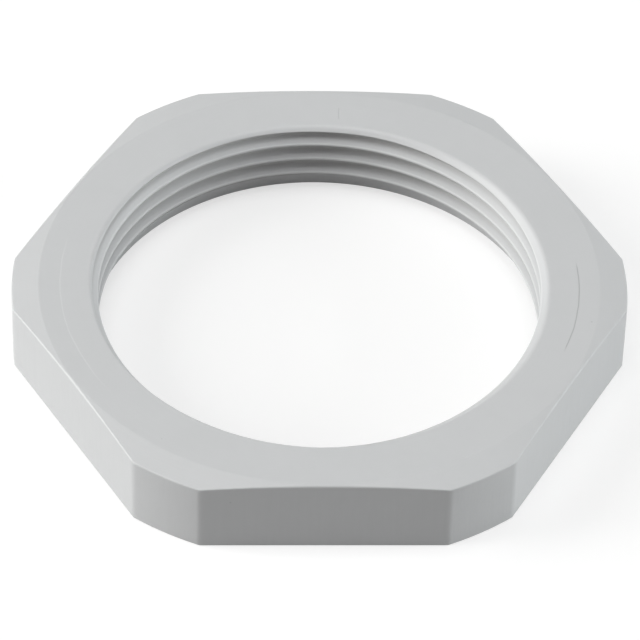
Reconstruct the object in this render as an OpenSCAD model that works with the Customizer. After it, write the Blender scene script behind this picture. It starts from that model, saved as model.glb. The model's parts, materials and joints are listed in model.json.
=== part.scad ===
// Cable gland locknut: a flat six-sided nut moulded in one piece.
// Millimetres. The bottom seating face lies on z = 0 and the thread runs along +Z.
// One flat of the hexagon faces -Y.

/* [Hexagon] */
// Wall from the clear bore out to each flat, which sets the spanner size
wall = 5; // [3:0.1:12]
// How far the turned corners stand out beyond the flats
corner_reach = 2; // [0.5:0.1:3]
// Thickness of the nut
height = 6.8; // [4:0.1:14]

/* [Top bevel] */
// How far inside the flats the shallow bevel of the top face begins
bevel_inset = 0.2; // [0:0.05:2]
// Slope of the bevel below the level top face, in degrees
bevel_angle = 12; // [1:0.5:30]

/* [Thread] */
// Clear bore over the thread crests
bore_d = 36; // [12:0.1:70]
// Threads along one inch of the axis
threads_per_inch = 16; // [12:1:24]
// Angle between the two flanks of the groove, in degrees
flank_angle = 80; // [50:1:90]
// Width of the land left on each thread crest
crest_flat = 0.16; // [0.1:0.01:0.4]
// Width of the flat at the bottom of the groove
root_flat = 0.25; // [0.05:0.01:0.5]

/* [Mouths of the bore] */
// How far the countersink opens the top mouth around the clear bore
countersink_width = 0.55; // [0.1:0.05:1.5]
// Angle between the countersink and the axis, in degrees
countersink_angle = 45; // [30:1:60]
// How far the plain recess at the bottom mouth clears the thread groove
recess_clearance = 0.15; // [0.05:0.05:1]
// Depth of that recess
recess_depth = 1.1; // [0.5:0.1:3]

/* [Hidden] */
$fn = 120;

inch = 25.4;
// Straight pieces that stand for one turn of the helix
steps_per_turn = 72;
// Angle about the axis where the groove starts in the recess
groove_start = -84;
// How far a cut runs past the face that it opens
overcut = 1;

across_flats = bore_d + 2 * wall;
corner_d = across_flats + 2 * corner_reach;
bevel_start_d = across_flats - 2 * bevel_inset;
bevel_drop = (corner_d - bevel_start_d) / 2 * tan(bevel_angle);

// The groove's depth follows from its pitch, its flanks and its two flats
pitch = inch / threads_per_inch;
flank_slope = tan(flank_angle / 2);
groove_depth = (pitch - crest_flat - root_flat) / 2 / flank_slope;
groove_r = bore_d / 2 + groove_depth;

countersink_r = bore_d / 2 + countersink_width;
countersink_depth = countersink_width / tan(countersink_angle);
recess_r = groove_r + recess_clearance;

// The flanks run a little way into the open bore, so that no skin is left over the groove
flank_run = crest_flat / 4;
mouth_r = bore_d / 2 - flank_run;
mouth_half = root_flat / 2 + (groove_depth + flank_run) * flank_slope;
inner_r = mouth_r - groove_depth;

// Radius and height of the corners of the groove's section, about its centre line
groove_section = [
    [inner_r, -mouth_half],
    [mouth_r, -mouth_half],
    [groove_r, -root_flat / 2],
    [groove_r, root_flat / 2],
    [mouth_r, mouth_half],
    [inner_r, mouth_half]
];

// The groove starts inside the recess and runs out above the top face
groove_z0 = recess_depth - mouth_half;
groove_z1 = height + mouth_half;
groove_steps = ceil((groove_z1 - groove_z0) / pitch * steps_per_turn);

// Point of the right-hand helix at one step, for one corner of the section
function helix_point(step, corner) =
    let (turn = step / steps_per_turn)
    let (angle = groove_start + 360 * turn)
    [corner[0] * cos(angle), corner[0] * sin(angle), groove_z0 + pitch * turn + corner[1]];

// Helical groove, swept through its section step by step and closed at both ends
module thread_groove() {
    corners = len(groove_section);
    points = [
        for (step = [0 : groove_steps])
            for (corner = groove_section)
                helix_point(step, corner)
    ];
    sides = [
        for (step = [0 : groove_steps - 1])
            for (c = [0 : corners - 1])
                let (a = step * corners + c)
                let (b = step * corners + (c + 1) % corners)
                [a, b, b + corners, a + corners]
    ];
    first_end = [for (c = [corners - 1 : -1 : 0]) c];
    last_end = [for (c = [0 : corners - 1]) groove_steps * corners + c];
    polyhedron(points = points, faces = concat(sides, [first_end, last_end]), convexity = 10);
}

// Hexagonal prism inside a turned blank, which rounds the corners and bevels the top
module hexagon_body() {
    intersection() {
        cylinder(h = height, d = across_flats / cos(30), $fn = 6);
        rotate_extrude()
            polygon([
                [0, 0],
                [corner_d / 2, 0],
                [corner_d / 2, height - bevel_drop],
                [bevel_start_d / 2, height],
                [0, height]
            ]);
    }
}

// Everything round that is taken out of the middle: bore, countersink and recess
module bore() {
    translate([0, 0, -overcut])
        cylinder(h = height + 2 * overcut, r = bore_d / 2);
    translate([0, 0, -overcut])
        cylinder(h = recess_depth + overcut, r = recess_r);
    translate([0, 0, height - countersink_depth])
        cylinder(h = countersink_depth, r1 = bore_d / 2, r2 = countersink_r);
    translate([0, 0, height])
        cylinder(h = overcut, r = countersink_r);
}

module locknut() {
    color("gainsboro")
        difference() {
            hexagon_body();
            bore();
            thread_groove();
        }
}

locknut();
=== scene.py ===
# %% [markdown]
# # A cable gland locknut
# The nut is one flat ring of grey plastic with six flats outside and a screw thread inside.
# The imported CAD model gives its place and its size. This script dresses it: it makes the same
# nut again with soft edges, a true helical thread and the skin of moulded plastic.

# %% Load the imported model
import json
import math

import bpy
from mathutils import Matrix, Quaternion, Vector


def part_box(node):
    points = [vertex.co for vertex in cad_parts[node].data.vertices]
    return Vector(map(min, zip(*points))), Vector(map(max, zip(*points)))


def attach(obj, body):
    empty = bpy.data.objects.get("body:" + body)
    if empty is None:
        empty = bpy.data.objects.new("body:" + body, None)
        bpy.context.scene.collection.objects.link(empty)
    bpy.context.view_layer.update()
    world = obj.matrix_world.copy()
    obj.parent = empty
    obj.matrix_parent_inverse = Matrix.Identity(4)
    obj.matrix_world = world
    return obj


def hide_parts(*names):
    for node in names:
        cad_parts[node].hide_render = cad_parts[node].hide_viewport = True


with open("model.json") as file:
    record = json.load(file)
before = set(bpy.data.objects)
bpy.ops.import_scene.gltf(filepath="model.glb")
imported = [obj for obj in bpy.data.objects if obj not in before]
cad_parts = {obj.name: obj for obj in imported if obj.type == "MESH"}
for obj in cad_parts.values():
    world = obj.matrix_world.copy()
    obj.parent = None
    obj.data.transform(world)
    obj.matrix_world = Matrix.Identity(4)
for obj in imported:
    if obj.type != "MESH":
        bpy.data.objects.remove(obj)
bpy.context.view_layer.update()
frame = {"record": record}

# %% [markdown]
# Sizes come from the model where it states them, so that the two never disagree. The box gives
# the thickness, the distance across the flats and the circle that the corners are turned to.
# The record's mounts give the bore over the thread crests and the recess at the bottom mouth.
# Everything is worked out in millimetres and made metres in the last step.

# %% Sizes
MM = 1000
low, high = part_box("locknut")
height = high[2] * MM
flat_r = high[1] * MM
corner_r = high[0] * MM
mounts = {mount["name"]: mount for mount in frame["record"]["mounts"]}
bore_r = mounts["thread"]["dims"]["r_mm"]
recess_r = mounts["bottom_recess"]["dims"]["r_mm"]
recess_depth = mounts["bottom_recess"]["dims"]["length_mm"]
print(f"height {height:.2f}, flats {2 * flat_r:.2f}, corners {2 * corner_r:.2f}")
print(f"bore {2 * bore_r:.2f}, recess {2 * recess_r:.2f} by {recess_depth:.2f} deep")

# %% [markdown]
# The thread is a true helix with 16 turns to the inch. Its groove gets its depth from the pitch,
# the angle between the flanks and the two small flats, as a thread cutter's tool does. The edges
# of the real nut are not knife sharp, so each soft edge here has a size of its own: the lip of
# the countersink is the softest, and the bottom mouth is left almost crisp.

# %% Sizes of the thread and the edges
INCH = 25.4
THREADS_PER_INCH = 16
FLANK_ANGLE = 80
pitch = INCH / THREADS_PER_INCH
crest_flat = 0.16
root_flat = 0.25
flank_slope = math.tan(math.radians(FLANK_ANGLE / 2))
groove_r = bore_r + (pitch - crest_flat - root_flat) / 2 / flank_slope
# At this angle round from +X the groove's middle lies half its mouth below the recess's top
groove_start = -84
mouth_half = (pitch - crest_flat) / 2 + crest_flat / 4 * flank_slope
# Height of the middle of a groove where it crosses the +X side
groove_height = recess_depth - mouth_half - pitch * groove_start / 360
thread_soft = 0.015
COUNTERSINK_WIDTH = 0.55
countersink_r = bore_r + COUNTERSINK_WIDTH
countersink_soft = 0.03
BEVEL_START = 0.2
BEVEL_ANGLE = 12
bevel_start_r = flat_r - BEVEL_START
bevel_slope = math.tan(math.radians(BEVEL_ANGLE))
top_round = 0.13
bottom_round = 0.1
mouth_round = 0.03
# How far the soft lip of the countersink reaches down the cone and out over the top face
lip_drop = 0.2
lip_reach = 0.25
print(f"groove radius {groove_r:.3f}, pitch {pitch:.4f}")

# %% [markdown]
# The rules below are sums on node sockets. Wrapping a socket in a small class lets them be
# written as ordinary Python, in geometry trees and in materials alike: `a * 2 + b` adds the
# two Math nodes and links them.


# %% Sockets as numbers
class Value:
    """The number that comes out of a socket, for use in ordinary sums."""

    def __init__(self, tree, socket):
        self.tree, self.socket = tree, socket

    def __add__(self, other):
        return self.tree.math("ADD", self, other)

    def __radd__(self, other):
        return self.tree.math("ADD", other, self)

    def __sub__(self, other):
        return self.tree.math("SUBTRACT", self, other)

    def __rsub__(self, other):
        return self.tree.math("SUBTRACT", other, self)

    def __mul__(self, other):
        return self.tree.math("MULTIPLY", self, other)

    def __rmul__(self, other):
        return self.tree.math("MULTIPLY", other, self)

    def __truediv__(self, other):
        return self.tree.math("DIVIDE", self, other)

    def __rtruediv__(self, other):
        return self.tree.math("DIVIDE", other, self)


class Tree:
    """A node tree, with one way to add any node and short names for the usual sums."""

    def __init__(self, tree):
        self.tree = tree

    def node(self, kind, settings=None, values=None):
        """Adds a node: its settings first, then a value or a link for each named socket."""
        node = self.tree.nodes.new(kind)
        for name, setting in (settings or {}).items():
            setattr(node, name, setting)
        for name, value in (values or {}).items():
            socket = node.inputs[name]
            if isinstance(value, Value):
                self.tree.links.new(value.socket, socket)
            else:
                socket.default_value = value
        return node

    def out(self, node, name=0):
        return Value(self, node.outputs[name])

    def math(self, operation, *values, clamp=False):
        settings = {"operation": operation, "use_clamp": clamp}
        return self.out(self.node("ShaderNodeMath", settings, dict(enumerate(values))))

    def ramp(self, value, start, end):
        """Rises from 0 to 1 between two values, and stays level outside them."""
        return self.math("DIVIDE", value - start, end - start, clamp=True)

    def least(self, a, b):
        return self.math("MINIMUM", a, b)

    def most(self, a, b):
        return self.math("MAXIMUM", a, b)

    def mix(self, share, first, second):
        """A colour between two others. The Mix node keeps its colour sockets from number 6 on."""
        sockets = {0: share, 6: first, 7: second}
        return self.out(self.node("ShaderNodeMix", {"data_type": "RGBA"}, sockets), 2)

    def seen_directly(self):
        """One for the camera and for rays that were reflected or let through, else zero."""
        ray = self.node("ShaderNodeLightPath")
        mirrored = self.most(self.out(ray, "Is Glossy Ray"), self.out(ray, "Is Transmission Ray"))
        return self.most(self.out(ray, "Is Camera Ray"), mirrored)


# %% [markdown]
# The nut could be cut out of a block with booleans, as the CAD model is. Here it is one sheet
# of quads wrapped round the axis instead. Its surface is split into strips: bottom, recess,
# thread, top, bevel, side. Each strip is a flat grid whose columns go round the nut and whose
# rows follow the outline of its section. A rule gives the radius and the height of each point,
# so neighbouring strips share their edges exactly and can be welded.

# %% Columns and rows
SIDES = 6
CORNER_COLUMNS = 10
FLAT_COLUMNS = 60
SECTOR_COLUMNS = 2 * CORNER_COLUMNS + FLAT_COLUMNS
COLUMNS = SIDES * SECTOR_COLUMNS
ROOT_ROWS = 2
FLANK_ROWS = 10
CREST_ROWS = 6
ROWS_PER_TURN = 2 * (ROOT_ROWS + FLANK_ROWS) + CREST_ROWS
corner_half = 30 - math.degrees(math.acos(flat_r / corner_r))
print(f"{COLUMNS} columns; each turned corner spans {2 * corner_half:.2f} degrees")

# %% The tree and its inputs
group = bpy.data.node_groups.new("Locknut surface", "GeometryNodeTree")
group.is_modifier = True
group.interface.new_socket("Geometry", in_out="OUTPUT", socket_type="NodeSocketGeometry")
nut_inputs = {
    "Height": height,
    "Flat radius": flat_r,
    "Corner radius": corner_r,
    "Bore radius": bore_r,
    "Groove radius": groove_r,
    "Pitch": pitch,
    "Top rounding": top_round,
}
for name in nut_inputs:
    group.interface.new_socket(name, in_out="INPUT", socket_type="NodeSocketFloat")
group.interface.new_socket("Plastic", in_out="INPUT", socket_type="NodeSocketMaterial")
nut = Tree(group)
given = nut.node("NodeGroupInput")
size = {name: nut.out(given, name) for name in nut_inputs}
print("inputs:", ", ".join(nut_inputs))


# %% Angle of a column
# Added before a floor, so that a whole number never falls to the one below it
WHOLE = 0.001


def column_angle(column):
    """Angle in radians. Columns lie closer on the turned corners than on the flats."""
    sector = nut.math("FLOOR", (column + WHOLE) / SECTOR_COLUMNS)
    inside = column - sector * SECTOR_COLUMNS
    first = nut.ramp(inside, 0, CORNER_COLUMNS)
    middle = nut.ramp(inside, CORNER_COLUMNS, SECTOR_COLUMNS - CORNER_COLUMNS)
    last = nut.ramp(inside, SECTOR_COLUMNS - CORNER_COLUMNS, SECTOR_COLUMNS)
    turned = (first + last) * corner_half + middle * (60 - 2 * corner_half)
    return (sector * 60 + turned) * (math.pi / 180)


# %% Outline of the nut
def from_mid_flat(angle):
    return nut.math("FLOORED_MODULO", angle, math.pi / 3) - math.pi / 6


def outline(angle, inset=0):
    """Radius of the six flats or the turned corner, whichever is nearer the axis."""
    from_flat = from_mid_flat(angle)
    flats = (size["Flat radius"] - inset) / nut.math("COSINE", from_flat)
    return nut.least(flats, size["Corner radius"] - inset)


def top_height(radius):
    """Height of the top face: level inside, then the shallow bevel."""
    return size["Height"] - nut.most(radius - bevel_start_r, 0) * bevel_slope


# %% [markdown]
# The real thread was most likely moulded round a threaded core that was screwed out again. It
# could be made by sweeping a profile along a helix and cutting it away, but a rule gives even
# quads and soft corners with no cut to clean up. The wall's distance from the axis is worked out
# from angle and height: how far a point lies above the groove says whether it is on the root, a
# flank or the crest. Smooth minimum and maximum round the corners between them.


# %% Thread
def lead(angle):
    """How far the thread has climbed at an angle."""
    return size["Pitch"] * angle / (2 * math.pi)


def thread_radius(angle, z):
    """Wall of the threaded hole: crest, flank, root and the countersink at the top."""
    phase = nut.math("FLOORED_MODULO", z - groove_height - lead(angle), size["Pitch"])
    half = size["Pitch"] / 2
    from_crest = nut.math("ABSOLUTE", phase - half)
    flank = size["Bore radius"] + (from_crest - crest_flat / 2) / flank_slope
    cut = nut.math("SMOOTH_MIN", flank, size["Groove radius"], thread_soft)
    wall = nut.math("SMOOTH_MAX", cut, size["Bore radius"], thread_soft)
    cone = z - size["Height"] + countersink_r
    return nut.math("SMOOTH_MAX", wall, cone, countersink_soft)


# %% [markdown]
# Every strip starts as a flat grid. Its columns become angles and its rows become steps along
# the section, so one function serves them all, and only the rows and the rule differ.

# %% One strip of the surface
END_SHARE = 0.03


def spread(row, start, rows):
    """Share of the way along a run of rows, whose first and last rows lie close to its ends."""
    end = start + rows
    return (
        nut.ramp(row, start, start + 1) * END_SHARE
        + nut.ramp(row, start + 1, end - 1) * (1 - 2 * END_SHARE)
        + nut.ramp(row, end - 1, end) * END_SHARE
    )


def strip(rows, rule, close_ends=True):
    """A grid of quads, with each point placed by rule(share of the way along, row, angle)."""
    grid = nut.node(
        "GeometryNodeMeshGrid",
        values={
            "Size X": COLUMNS,
            "Size Y": rows,
            "Vertices X": COLUMNS + 1,
            "Vertices Y": rows + 1,
        },
    )
    position = nut.out(nut.node("GeometryNodeInputPosition"))
    place = nut.node("ShaderNodeSeparateXYZ", values={0: position})
    angle = column_angle(nut.out(place, 0) + COLUMNS / 2)
    row = nut.out(place, 1) + rows / 2
    share = row / rows
    if close_ends and rows > 3:
        # The rows next to the edges lie close to them, which keeps the face between flat
        share = spread(row, 0, rows)
    radius, z = rule(share, row, angle)
    point = nut.node(
        "ShaderNodeCombineXYZ",
        values={
            0: radius * nut.math("COSINE", angle) / MM,
            1: radius * nut.math("SINE", angle) / MM,
            2: z / MM,
        },
    )
    placed = nut.node(
        "GeometryNodeSetPosition",
        values={"Geometry": nut.out(grid), "Position": nut.out(point)},
    )
    return nut.out(placed)


def between(share, start, end):
    return start + (end - start) * share


# %% Rows of the thread
# A row keeps its place on the thread and climbs with it. So the first turn starts a pitch or
# more below the recess's top, and the rows that aren't needed fold flat at both ends
first_row_z = groove_height + pitch * math.floor((recess_depth - pitch - groove_height) / pitch)
thread_rows = ROWS_PER_TURN * math.ceil((height - first_row_z) / pitch)
print(f"{thread_rows} rows of thread, {ROWS_PER_TURN} for each turn")

# %% [markdown]
# The rules follow the section once round: in along the bottom, up the recess and the thread, over
# the lip and the top face, and down the outside to the foot. Each one starts where the last one
# ends. The photograph shows the top outer edge softer at the middle of a flat than at the
# corners, so the radius of its rounding changes along the flat.

# %% Rounding of the top outer edge
TOP_ARC = math.radians(90 - BEVEL_ANGLE)
SOFTER_MIDDLE = 0.5
# Where along a flat the extra softness fades out, in radians from its middle
FADE_START, FADE_END = 0.03, 0.32
print(f"top edge rounded by {top_round:.3f}, and {top_round * (1 + SOFTER_MIDDLE):.3f} mid-flat")


def rounding(angle):
    """Radius of the top outer edge: softest at the middle of each flat."""
    aside = nut.math("ABSOLUTE", from_mid_flat(angle))
    faded = nut.ramp(aside, FADE_START, FADE_END) * SOFTER_MIDDLE
    return size["Top rounding"] * (1 + SOFTER_MIDDLE - faded)


def bevel_inset(angle):
    return rounding(angle) * (1 - math.cos(TOP_ARC))


# %% Rules of the bottom and the recess
def bottom_rule(share, row, angle):
    return between(share, outline(angle, bottom_round), recess_r + mouth_round), share * 0


def mouth_rule(share, row, angle):
    turn = share * (math.pi / 2)
    radius = recess_r + mouth_round - nut.math("SINE", turn) * mouth_round
    return radius, mouth_round - nut.math("COSINE", turn) * mouth_round


def recess_rule(share, row, angle):
    return share * 0 + recess_r, between(share, mouth_round, recess_depth)


def ceiling_rule(share, row, angle):
    inner = thread_radius(angle, share * 0 + recess_depth)
    return between(share, recess_r, inner), share * 0 + recess_depth


# %% Rules of the thread and the top
def thread_rule(share, row, angle):
    turns = nut.math("FLOOR", (row + WHOLE) / ROWS_PER_TURN)
    step = row - turns * ROWS_PER_TURN
    crest_start = ROOT_ROWS + FLANK_ROWS
    crest_end = crest_start + CREST_ROWS
    flank_height = (size["Pitch"] - crest_flat - root_flat) / 2
    last_root = ROWS_PER_TURN - ROOT_ROWS
    roots = nut.ramp(step, 0, ROOT_ROWS) + nut.ramp(step, last_root, ROWS_PER_TURN)
    flanks = spread(step, ROOT_ROWS, FLANK_ROWS) + spread(step, crest_end, FLANK_ROWS)
    crest = spread(step, crest_start, CREST_ROWS)
    climb = roots * (root_flat / 2) + flanks * flank_height + crest * crest_flat
    z = first_row_z + lead(angle) + turns * size["Pitch"] + climb
    z = nut.least(nut.most(z, recess_depth), size["Height"] - lip_drop)
    return thread_radius(angle, z), z


def lip_rule(share, row, angle):
    """A curve that leaves the cone at its own slope and runs out level on the top face."""
    start = thread_radius(angle, share * 0 + (height - lip_drop))
    corner = thread_radius(angle, share * 0 + height)
    left = 1 - share
    inner = left * left * start + left * share * 2 * corner
    return inner + share * share * (corner + lip_reach), height - left * left * lip_drop


def top_rule(share, row, angle):
    inner = thread_radius(angle, share * 0 + height) + lip_reach
    outer = nut.least(outline(angle, bevel_inset(angle)), bevel_start_r)
    return between(share, inner, outer), share * 0 + height


def bevel_rule(share, row, angle):
    edge = outline(angle, bevel_inset(angle))
    radius = between(share, nut.least(edge, bevel_start_r), edge)
    return radius, top_height(radius)


# %% Rules of the outside
def edge_height(angle):
    """Height of the centre of the rounding at the top outer edge."""
    return top_height(outline(angle, bevel_inset(angle))) - rounding(angle) * math.sin(TOP_ARC)


def edge_rule(share, row, angle):
    turn = (1 - share) * TOP_ARC
    inset = rounding(angle) * (1 - nut.math("COSINE", turn))
    return outline(angle, inset), edge_height(angle) + rounding(angle) * nut.math("SINE", turn)


def side_rule(share, row, angle):
    return outline(angle), between(share, edge_height(angle), bottom_round)


def foot_rule(share, row, angle):
    turn = share * (math.pi / 2)
    inset = bottom_round * (1 - nut.math("COSINE", turn))
    return outline(angle, inset), bottom_round - nut.math("SINE", turn) * bottom_round


# %% Make the strips
strips = [
    strip(4, bottom_rule),
    strip(3, mouth_rule),
    strip(4, recess_rule),
    strip(2, ceiling_rule),
    strip(thread_rows, thread_rule, close_ends=False),
    strip(8, lip_rule, close_ends=False),
    strip(6, top_rule),
    strip(4, bevel_rule),
    strip(5, edge_rule, close_ends=False),
    strip(4, side_rule),
    strip(3, foot_rule),
]
print(f"{len(strips)} strips")

# %% [markdown]
# The strips only touch, and a nut with open seams would not count as solid. Merging the points
# that coincide closes it, and the same merge removes the thread rows that were folded flat. Edges
# that bend by more than 28 degrees then stay sharp and all others are shaded smooth.

# %% Weld the strips and shade them
WELD_DISTANCE = 0.000002
SHARP_ANGLE = 28
joined = nut.node("GeometryNodeJoinGeometry")
for piece in strips:
    group.links.new(piece.socket, joined.inputs[0])
welded = nut.node(
    "GeometryNodeMergeByDistance", values={"Geometry": nut.out(joined), "Distance": WELD_DISTANCE}
)
outward = nut.node("GeometryNodeFlipFaces", values={"Mesh": nut.out(welded)})
smooth = nut.node("GeometryNodeSetShadeSmooth", values={0: nut.out(outward), "Shade Smooth": True})
bend = nut.node("GeometryNodeInputMeshEdgeAngle")
sharp = nut.math("GREATER_THAN", nut.out(bend, 0), math.radians(SHARP_ANGLE))
creased = nut.node(
    "GeometryNodeSetShadeSmooth",
    {"domain": "EDGE"},
    {0: nut.out(smooth), 1: sharp, "Shade Smooth": False},
)
real = nut.node("GeometryNodeRealizeInstances", values={0: nut.out(creased)})
coated = nut.node(
    "GeometryNodeSetMaterial", values={0: nut.out(real), "Material": nut.out(given, "Plastic")}
)
finish = nut.node("NodeGroupOutput")
group.links.new(coated.outputs[0], finish.inputs[0])
print(f"surface tree: {len(group.nodes)} nodes")

# %% [markdown]
# The real nut is moulded in a plain grey plastic with a satin skin. A painted picture would show
# where it repeats, so the skin is worked out from the place of each point on the nut instead:
# broad, faint clouding of the grey, a fine grain that roughens it, upright streaks on the sides,
# and a ring on the top face. Nothing here depends on where the camera stands.

# %% Place on the nut, in millimetres
plastic = bpy.data.materials.new("Satin grey plastic")
plastic.use_nodes = True
skin = Tree(plastic.node_tree)
surface = plastic.node_tree.nodes["Principled BSDF"]
coordinates = skin.out(skin.node("ShaderNodeTexCoord"), "Object")
scaled = skin.node("ShaderNodeVectorMath", {"operation": "SCALE"}, {0: coordinates, "Scale": MM})
in_mm = skin.out(scaled)
apart = skin.node("ShaderNodeSeparateXYZ", values={0: in_mm})
x, y, z = (skin.out(apart, axis) for axis in range(3))
from_axis = skin.math("SQRT", x * x + y * y)
around = skin.math("ARCTAN2", y, x) * (180 / math.pi)


# %% Helpers for the skin
def vector(a, b, c):
    return skin.out(skin.node("ShaderNodeCombineXYZ", values={0: a, 1: b, 2: c}))


def noise(place, scale, detail=2.0):
    """Smooth noise about zero, with features one over scale long."""
    values = {"Vector": place, "Scale": scale, "Detail": detail, "Roughness": 0.55}
    return skin.out(skin.node("ShaderNodeTexNoise", values=values)) - 0.5


def window(value, start, end, soft):
    """One between start and end, and fading to zero over a soft distance outside them."""
    return skin.ramp(value, start - soft, start) * (1 - skin.ramp(value, end, end + soft))


def near(value, centre, width):
    """One at the centre, falling to zero a width away."""
    return 1 - skin.ramp(skin.math("ABSOLUTE", value - centre), 0, width)


# %% Grain, clouds and streaks
# The skin of the top face reaches this far down, and fades out over a further tenth
TOP_SKIN = 0.5
TOP_FADE = 0.1
clouds = noise(in_mm, 0.22, 3.0)
patches = noise(in_mm, 0.9, 2.0)
grain = noise(in_mm, 5.0, 3.0)
on_top = skin.ramp(z, height - TOP_SKIN - TOP_FADE, height - TOP_SKIN)
streaks = noise(vector(x * 3.5, y * 3.5, z * 0.25), 1.0, 2.0) * (1 - on_top)
turned = noise(vector(from_axis * 6, around * 0.02, 0.0), 1.0, 2.0) * on_top

# %% [markdown]
# A faint ring runs round the top face about 2 mm inside the flats. It is light on the left, dark
# on the right and broken elsewhere. A very low step lit from one side would look so, but these
# lamps light it from both, so the step is joined by a thin painted line: a painted highlight on
# the left and in the broken traces, and painted shade on the right. A short scratch crosses the
# face behind the bore. Where each shows is set by its angle round the axis, in degrees.

# %% Witness ring, scratch and specks
RING_R = 21.05
print(f"ring {flat_r - RING_R:.2f} mm inside the flats")
wander = noise(vector(around * 0.08, 0.0, 0.0), 1.0, 2.0) * 0.25
ring_edge = from_axis - RING_R - wander
left_arc = skin.ramp(around, 165, 172) + (1 - skin.ramp(around, -152, -142))
right_arc = window(around, -21, 4, 3)
traces = skin.ramp(noise(vector(around * 0.35, 7.0, 0.0), 1.0, 2.0), 0.12, 0.22) * 0.35
ring_seen = skin.least(left_arc * 0.8 + right_arc + traces, 1.0) * on_top
step_down = skin.ramp(ring_edge, -0.04, 0.04) * (1 - skin.ramp(ring_edge, 0.1, 1.6))
ring_line = near(ring_edge, 0.0, 0.07) * ring_seen
scratch = near(around - (from_axis - 20) * 0.2, 84.3, 0.16) * window(from_axis, 19.5, 20.8, 0.1)
scratch = scratch * on_top
cells = skin.node("ShaderNodeTexVoronoi", values={"Vector": in_mm, "Scale": 0.55})
tint = skin.node("ShaderNodeSeparateColor", values={0: skin.out(cells, "Color")})
specks = (1 - skin.ramp(skin.out(cells, "Distance"), 0.03, 0.06)) * skin.ramp(
    skin.out(tint), 0.9, 0.91
)

# %% [markdown]
# In the photograph each crest is a thin bright line, and the bottom of the groove is darker than
# these lamps leave it. So a highlight is painted on the crests and shade is painted in the roots,
# as two tones fitted to the picture. Both follow from how far a point lies from the axis, so two
# ramps on that distance do instead of a mask drawn in an image. A third keeps them inside the
# bore, or the painted shade would also lie on the flats outside.

# %% Painted highlight on the crests and painted shade in the roots
in_bore = 1 - skin.ramp(from_axis, groove_r + 0.3, groove_r + 0.5)
in_thread = window(z, recess_depth, height - TOP_SKIN, TOP_FADE) * in_bore
# Painted highlight: the crests of the thread are made lighter in colour
painted_crest_highlight = (1 - skin.ramp(from_axis, bore_r + 0.03, bore_r + 0.12)) * in_thread * 0.55
# Painted shade: the roots of the groove are made darker in colour
painted_root_shade = skin.ramp(from_axis, bore_r + 0.3, groove_r) * in_thread * 0.75

# %% [markdown]
# The colours are laid over each other as a painter glazes: the grey first, then the painted shade
# of the groove, then the dark marks with the painted shade of the ring, and last the painted
# highlights on the ring and the crests. The relief is given in millimetres, so a value of 0.01 is
# a bump one hundredth of a millimetre high.

# %% Colour
LIGHT_GREY = (0.589, 0.597, 0.604, 1)
DARK_GREY = (0.545, 0.553, 0.560, 1)
# Colour of the painted shade in the roots of the groove
PAINTED_SHADE_GREY = (0.43, 0.43, 0.425, 1)
# Colour of the scratch and the specks, and of the painted shade of the ring on the right
MARK_AND_SHADE_GREY = (0.26, 0.265, 0.27, 1)
# Colour of the painted highlights on the crests and on the ring
PAINTED_HIGHLIGHT_GREY = (0.72, 0.73, 0.735, 1)
shade = 0.5 + clouds * 0.5 + patches * 0.25 + grain * 0.25 + streaks * 0.5 + turned * 0.25
# Dark marks: the scratch and the specks, and painted shade on the ring's right side
marks_and_ring_shade = skin.least(ring_line * right_arc * 0.6 + scratch * 0.3 + specks * 0.25, 1.0)
# Painted highlight on the ring, away from its right side
painted_ring_highlight = ring_line * (1 - right_arc) * 0.35
colour = skin.mix(shade, DARK_GREY, LIGHT_GREY)
colour = skin.mix(painted_root_shade, colour, PAINTED_SHADE_GREY)
colour = skin.mix(marks_and_ring_shade, colour, MARK_AND_SHADE_GREY)
colour = skin.mix(skin.most(painted_ring_highlight, painted_crest_highlight), colour, PAINTED_HIGHLIGHT_GREY)

# %% Relief and roughness
relief = (
    grain * 0.006 + patches * 0.01 + turned * 0.004 + streaks * 0.006
    - step_down * ring_seen * 0.012 - scratch * 0.02
)
bump = skin.node(
    "ShaderNodeBump", values={"Strength": 1.0, "Distance": 1 / MM, "Height": relief}
)
gloss = 0.5 + grain * 0.12 + clouds * 0.08 - ring_line * 0.08
links = plastic.node_tree.links
links.new(colour.socket, surface.inputs["Base Color"])
links.new(gloss.socket, surface.inputs["Roughness"])
links.new(bump.outputs[0], surface.inputs["Normal"])
print(f"skin: {len(plastic.node_tree.nodes)} nodes")

# %% [markdown]
# The tree is run once and its result kept as a plain mesh. A live modifier would follow later
# changes of size, but the calls that tie a piece to the CAD model need an object that is finished
# and stands at the origin.

# %% Make the nut
maker = bpy.data.objects.new("nut", bpy.data.meshes.new("nut"))
bpy.context.scene.collection.objects.link(maker)
recipe = maker.modifiers.new("Locknut surface", "NODES")
recipe.node_group = group
for item in group.interface.items_tree:
    if item.in_out == "INPUT" and item.name in nut_inputs:
        recipe[item.identifier] = float(nut_inputs[item.name])
    if item.in_out == "INPUT" and item.name == "Plastic":
        recipe[item.identifier] = plastic
bpy.context.view_layer.update()
seen = maker.evaluated_get(bpy.context.evaluated_depsgraph_get())
made = bpy.data.meshes.new_from_object(seen)
maker.modifiers.clear()
maker.data = made
print(f"nut: {len(made.vertices)} points, {len(made.polygons)} faces")

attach(maker, "root")
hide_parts("locknut")

# %% [markdown]
# The nut lies on a plain pale sheet. A white picture could be had with brighter lamps, but they
# would bleach the grey plastic. The sheet has a middle tone for the light that it throws back,
# and only the camera and the reflections see it glow white, so the nut still casts its shadow.

# %% Floor
FLOOR_TONE = 0.45
FLOOR_GLOW = 0.6
GLOW_RISE_START, GLOW_RISE_END = 0.2, 0.8
floor_mesh = bpy.data.meshes.new("floor")
reach = 3.0
floor_mesh.from_pydata(
    [(-reach, -reach, 0), (reach, -reach, 0), (reach, reach, 0), (-reach, reach, 0)],
    [],
    [(0, 1, 2, 3)],
)
floor = bpy.data.objects.new("floor", floor_mesh)
bpy.context.scene.collection.objects.link(floor)
floor_paint = bpy.data.materials.new("White floor")
floor_paint.use_nodes = True
ground = Tree(floor_paint.node_tree)
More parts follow.
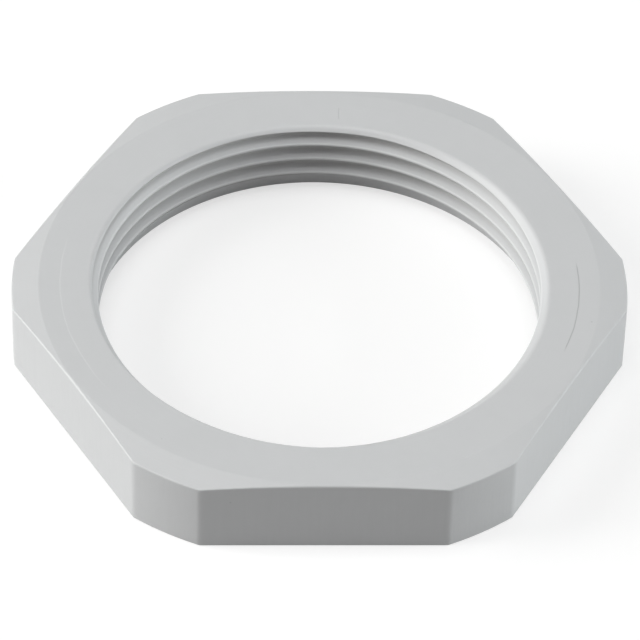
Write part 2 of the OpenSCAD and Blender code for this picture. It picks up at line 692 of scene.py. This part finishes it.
# Past the lamps the sheet is unlit, so its glow rises there to the full white
floor_place = ground.out(ground.node("ShaderNodeTexCoord"), "Object")
span = ground.node("ShaderNodeVectorMath", {"operation": "LENGTH"}, {0: floor_place})
far = ground.ramp(ground.out(span, "Value"), GLOW_RISE_START, GLOW_RISE_END)
glow = far * (1 - FLOOR_GLOW) + FLOOR_GLOW
paper = floor_paint.node_tree.nodes["Principled BSDF"]
paper.inputs["Base Color"].default_value = (FLOOR_TONE, FLOOR_TONE, FLOOR_TONE, 1)
paper.inputs["Roughness"].default_value = 1
paper.inputs["Specular IOR Level"].default_value = 0
paper.inputs["Emission Color"].default_value = (1, 1, 1, 1)
shine = ground.seen_directly() * glow
floor_paint.node_tree.links.new(shine.socket, paper.inputs["Emission Strength"])
floor_mesh.materials.append(floor_paint)
print(f"floor: {2 * reach:.0f} m across")

# %% [markdown]
# A sky of one brightness would fill the thread's roots with light and flatten them. So this one
# gives no light of its own, and is white only where the camera or a reflection meets it.

# %% Sky
world = bpy.data.worlds.new("Studio")
world.use_nodes = True
bpy.context.scene.world = world
sky = Tree(world.node_tree)
back = world.node_tree.nodes["Background"]
back.inputs["Color"].default_value = (1, 1, 1, 1)
world.node_tree.links.new(sky.seen_directly().socket, back.inputs["Strength"])
print(f"sky: {len(world.node_tree.nodes)} nodes")

# %% [markdown]
# Five large square lamps make soft studio light. Their strengths were solved for from pictures of
# the nut lit by one lamp at a time, because light from several lamps simply adds up. The left has
# two of them, which makes the left flat the brightest face, and the front has one weak one, which
# makes the front flat the darkest.

# %% Lamps
# Where each lamp stands: degrees round from the camera, degrees up, its watts and its tint
lamps = {
    "left": (270, 8, 4.95, (1, 1, 0.985)),
    "left_high": (270, 35, 3.55, (1, 1, 0.985)),
    "right": (90, 8, 5.9, (0.97, 1, 1)),
    "front": (0, 30, 0.5, (1, 0.94, 0.93)),
    "top": (0, 86, 2.7, (0.995, 1, 1)),
}
LAMP_DISTANCE = 0.8
LAMP_WIDTH = 0.45
# How far the camera is turned round from the front flat, and the point that all things aim at
camera_turn = math.radians(2.290)
aim = Vector((0, 0, 0.003379))


def direction(turn, rise):
    """Unit vector towards a place: an angle round from the front flat and one up."""
    level = math.cos(rise)
    return Vector((math.sin(turn) * level, -math.cos(turn) * level, math.sin(rise)))


for name, (round_from_camera, up, watts, tint_of_lamp) in lamps.items():
    towards = direction(math.radians(round_from_camera) - camera_turn, math.radians(up))
    lamp = bpy.data.lights.new(name, "AREA")
    lamp.shape = "SQUARE"
    lamp.size = LAMP_WIDTH
    lamp.energy = watts
    lamp.color = tint_of_lamp
    holder = bpy.data.objects.new(name, lamp)
    holder.location = aim + towards * LAMP_DISTANCE
    holder.rotation_euler = (-towards).to_track_quat("-Z", "Y").to_euler()
    bpy.context.scene.collection.objects.link(holder)
    print(f"lamp {name}: {watts} W, {up} degrees up")

# %% [markdown]
# The camera stands where the photograph was taken from, almost straight in front of one flat and
# 45 degrees up. Its place was found by matching the six corners and the bore, and the small shift
# frames the picture as the photograph is framed.

# %% Camera
camera_rise = math.radians(44.580)
camera_distance = 0.4053
camera_roll = math.radians(1.674)
lens = bpy.data.cameras.new("camera")
# The fit gave the focal length and the shifts in pixels of a picture 640 wide
PICTURE_WIDTH = 640
SENSOR_WIDTH = 36
lens.sensor_width = SENSOR_WIDTH
lens.lens = 4967 / PICTURE_WIDTH * SENSOR_WIDTH
lens.shift_x = 1.02 / PICTURE_WIDTH
lens.shift_y = -9.81 / PICTURE_WIDTH
lens.clip_start = 0.01
camera = bpy.data.objects.new("camera", lens)
camera.location = aim + camera_distance * direction(-camera_turn, camera_rise)
facing = (aim - camera.location).to_track_quat("-Z", "Y")
camera.rotation_euler = (facing @ Quaternion((0, 0, 1), camera_roll)).to_euler()
bpy.context.scene.collection.objects.link(camera)
bpy.context.scene.camera = camera
bpy.context.scene.view_settings.view_transform = "Standard"
print(f"camera {camera_distance} m away, focal length {lens.lens:.0f} mm")
